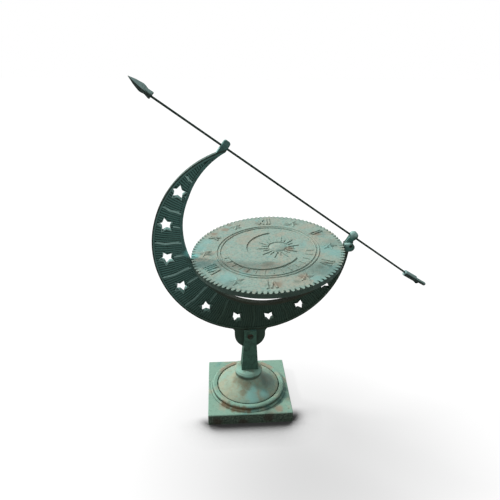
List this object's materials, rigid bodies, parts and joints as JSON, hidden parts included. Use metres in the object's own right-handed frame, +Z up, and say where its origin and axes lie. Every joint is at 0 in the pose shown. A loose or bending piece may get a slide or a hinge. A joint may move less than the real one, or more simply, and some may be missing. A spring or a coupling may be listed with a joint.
{
  "type": "sundial",
  "caption": "Table sundial: a round notched dial hung in a star-pierced crescent, an arrow through the horns as gnomon, on a forked post, bell foot and square plate.",
  "frame": {"origin": "middle of the square foot plate's underside, on the surface that the sundial stands on", "axes": "+Z up; -Y towards the viewer, square to the crescent; +X to the right, where the arrow's tail is"},
  "size_m": [0.3751, 0.1933, 0.4396],
  "materials": {
    "foot_plate": "cast, verdigris patina",
    "bell": "cast, verdigris patina",
    "post": "cast, dark green patina",
    "foot_screw": "dull",
    "foot_washer": "dull",
    "pivot_screw": "brown patina",
    "pivot_washer": "brown patina",
    "pivot_nut": "brown patina",
    "crescent": "cast, dark green patina",
    "clamp_screw": "dark patina",
    "dial_plate": "cast, light verdigris patina",
    "trunnion_pins": "dull",
    "gnomon_rod": "dark green patina",
    "arrow_head": "verdigris patina",
    "arrow_tail": "verdigris patina"
  },
  "bodies": {
    "base": {"foot_plate": "foot_plate", "bell": "bell", "post": "post", "foot_screw": "foot_screw", "foot_washer": "foot_washer", "pivot_screw": "pivot_screw", "pivot_washer": "pivot_washer", "pivot_nut": "pivot_nut"},
    "crescent": {"crescent": "crescent", "clamp_screw": "clamp_screw"},
    "dial": {"dial_plate": "dial_plate", "trunnion_pins": "trunnion_pins"},
    "arrow": {"gnomon_rod": "gnomon_rod", "arrow_head": "arrow_head", "arrow_tail": "arrow_tail"}
  },
  "joints": [
    {"name": "crescent_lean", "type": "hinge", "parent": "base", "child": "crescent", "pos_m": [0.0014, 0, 0.1067], "axis": [0, 1, 0], "range_deg": [-20, 20]},
    {"name": "dial_tilt", "type": "hinge", "parent": "crescent", "child": "dial", "pos_m": [0.0226, 0, 0.22961], "axis": [0.9976, 0, 0.0698], "range_deg": [-25, 20]},
    {"name": "arrow_slide", "type": "slide", "parent": "crescent", "child": "arrow", "axis": [-0.8171, 0, 0.5764], "range_m": [-0.085, 0.083]}
  ]
}
